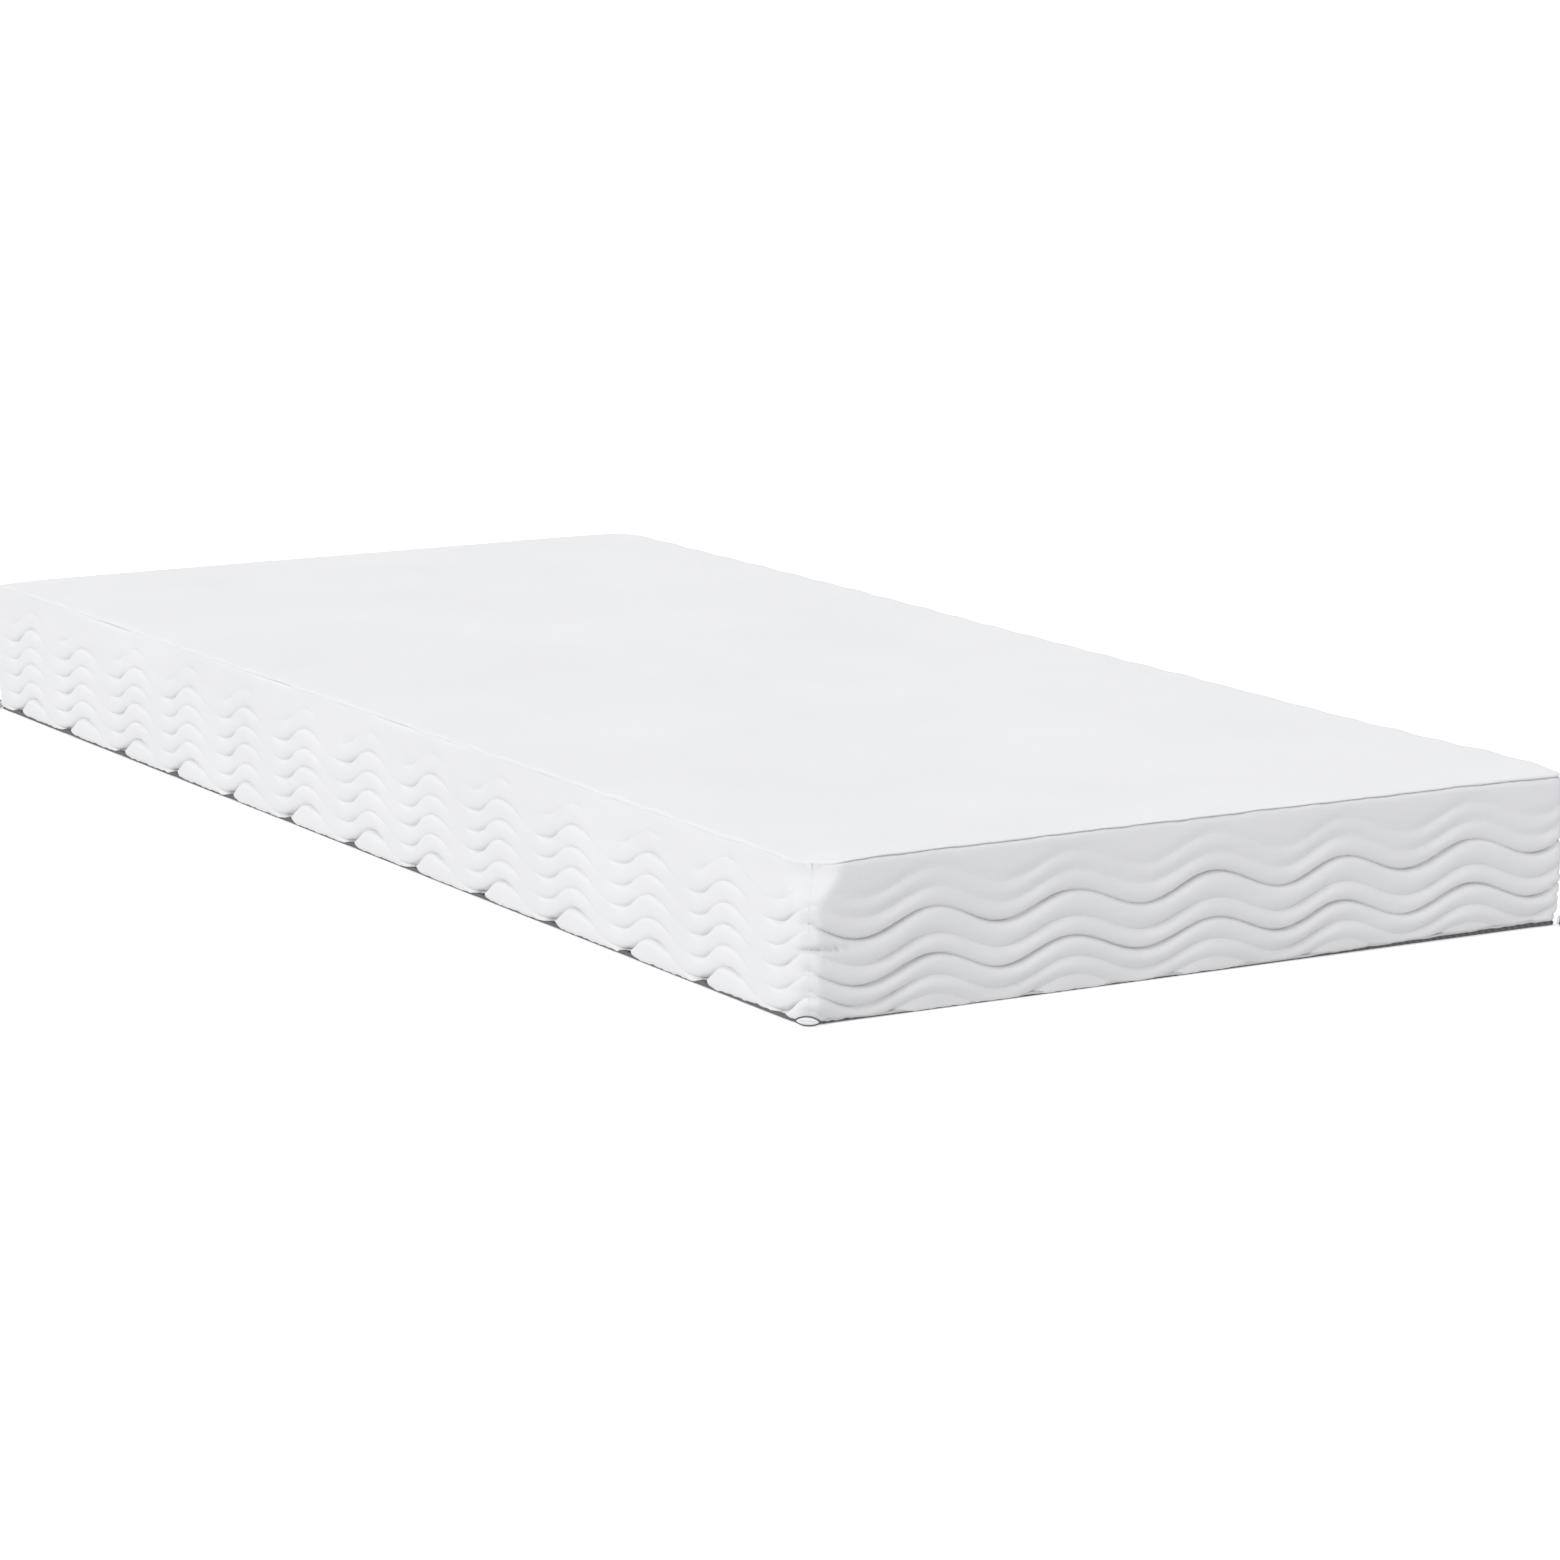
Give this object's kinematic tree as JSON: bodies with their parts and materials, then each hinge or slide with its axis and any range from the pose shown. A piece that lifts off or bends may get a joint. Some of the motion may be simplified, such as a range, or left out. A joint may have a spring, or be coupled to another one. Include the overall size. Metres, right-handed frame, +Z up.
{
  "type": "memory foam mattress",
  "caption": "Flat rectangular foam mattress with a plain top, a wave-quilted border and a zipped removable cover.",
  "frame": {"origin": "middle of the flat base, on the surface that the mattress lies on", "axes": "+Z up, +Y along the mattress towards the head end where the zip is, +X across it; left is -X"},
  "size_m": [0.9, 2.0007, 0.16],
  "materials": {
    "top_knit": "smooth white stretch knit, matt",
    "border_knit": "white knit, wave quilted, matt",
    "wadding": "white polyester fibre wadding",
    "backing": "thin off-white nonwoven",
    "base_fabric": "dark grey woven with small rubber-like grip dots",
    "seam_tape": "white woven tape, overlocked",
    "liner_knit": "thin off-white tubular knit",
    "memory_foam": "fine-celled slow-recovery foam, pale cream",
    "support_foam": "open-celled support foam, pale grey",
    "glue": "thin cured adhesive film",
    "zip_tape": "white woven zip tape",
    "zip_chain": "white nylon coil, satin",
    "zip_metal": "satin plated die casting",
    "label": "white satin ribbon, blank"
  },
  "bodies": {
    "mattress": {"top_panel": "top_knit", "top_wadding": "wadding", "foot_border_panel": "border_knit", "left_border_panel": "border_knit", "right_border_panel": "border_knit", "head_border_panel": "border_knit", "head_lower_panel": "border_knit", "zip_end_panel_left": "border_knit", "zip_end_panel_right": "border_knit", "foot_border_wadding": "wadding", "left_border_wadding": "wadding", "right_border_wadding": "wadding", "head_border_wadding": "wadding", "head_lower_wadding": "wadding", "foot_border_backing": "backing", "left_border_backing": "backing", "right_border_backing": "backing", "head_border_backing": "backing", "corner_seam_foot_left": "seam_tape", "corner_seam_foot_right": "seam_tape", "corner_seam_head_left": "seam_tape", "corner_seam_head_right": "seam_tape", "corner_tab_foot_left": "border_knit", "corner_tab_foot_right": "border_knit", "corner_tab_head_left": "border_knit", "corner_tab_head_right": "border_knit", "top_seam_tape": "seam_tape", "bottom_seam_tape": "seam_tape", "bottom_panel": "base_fabric", "zip_tape_upper": "zip_tape", "zip_tape_lower": "zip_tape", "zip_chain_upper": "zip_chain", "zip_chain_lower": "zip_chain", "zip_stop_left": "zip_metal", "zip_stop_right": "zip_metal", "care_label": "label", "core_liner_upper": "liner_knit", "core_liner_lower": "liner_knit", "memory_foam": "memory_foam", "glue_film": "glue", "support_foam": "support_foam"},
    "slider": {"zip_slider": "zip_metal"},
    "pull": {"zip_pull": "zip_metal"}
  },
  "joints": [
    {"name": "zip_travel", "type": "slide", "parent": "mattress", "child": "slider", "axis": [-1, 0, 0], "range_m": [0, 0.77]},
    {"name": "pull_flip", "type": "hinge", "parent": "slider", "child": "pull", "pos_m": [0.385, 0.9975, 0.028], "axis": [0, 0, -1], "range_deg": [0, 175]}
  ]
}
